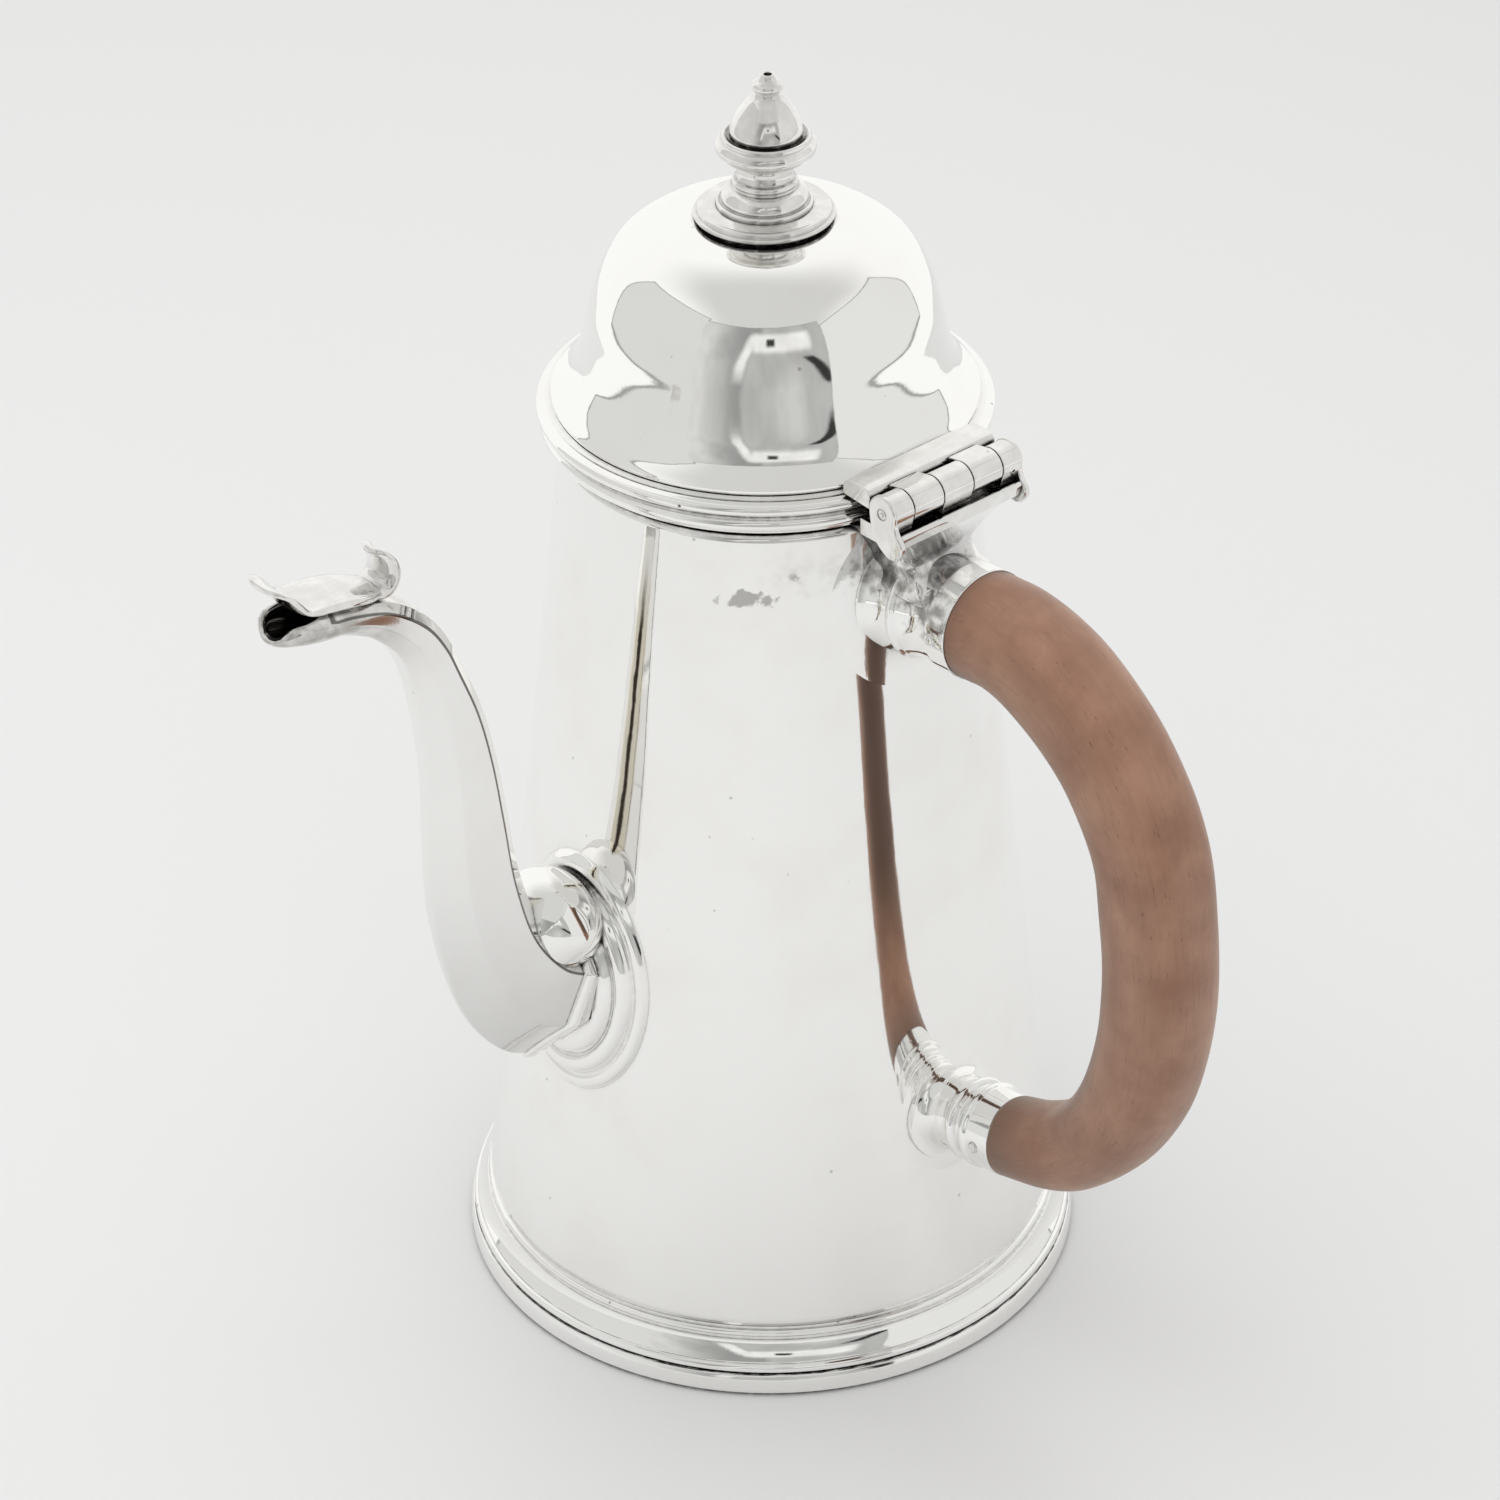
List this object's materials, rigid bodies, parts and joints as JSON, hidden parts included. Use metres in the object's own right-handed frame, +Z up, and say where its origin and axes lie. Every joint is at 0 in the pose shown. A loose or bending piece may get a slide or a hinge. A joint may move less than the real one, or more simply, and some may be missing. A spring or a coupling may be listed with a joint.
{
  "type": "coffee pot",
  "caption": "Tapering silver coffee pot with a hinged domed lid, turned finial, faceted swan-neck spout and wooden C-shaped side handle in silver sockets.",
  "frame": {"origin": "on the table, at the centre of the round foot, which is on the axis of the body", "axes": "+Z up along the body's axis, +X towards the spout, +Y towards the handle"},
  "size_m": [0.1656, 0.1649, 0.2362],
  "materials": {
    "silver": "polished silver, faintly warm, with dark tarnish in the seams",
    "handle_wood": "satin worn fruitwood"
  },
  "bodies": {
    "root": {"base_plate": "silver", "body": "silver", "body_knuckle_left": "silver", "body_knuckle_middle": "silver", "body_knuckle_right": "silver", "body_rim": "silver", "foot_band": "silver", "foot_moulding": "silver", "handle": "handle_wood", "hinge_bracket": "silver", "hinge_pin": "silver", "hinge_rail": "silver", "lower_pin": "silver", "lower_socket": "silver", "lower_socket_plate": "silver", "spout_boss": "silver", "spout_cover": "silver", "spout_left_half": "silver", "spout_plate": "silver", "spout_right_half": "silver", "spout_scroll": "silver", "upper_pin": "silver", "upper_socket": "silver", "upper_socket_plate": "silver"},
    "lid": {"finial_button": "silver", "finial_disc": "silver", "finial_knop": "silver", "finial_ring": "silver", "finial_stem": "silver", "lid_bezel": "silver", "lid_collar": "silver", "lid_dome": "silver", "lid_knuckle_left": "silver", "lid_knuckle_right": "silver", "lid_leaf": "silver"}
  },
  "joints": [
    {"name": "lid_hinge", "type": "hinge", "parent": "root", "child": "lid", "pos_m": [0, 0.0452, 0.1773], "axis": [-1, 0, 0], "range_deg": [0, 100]}
  ]
}
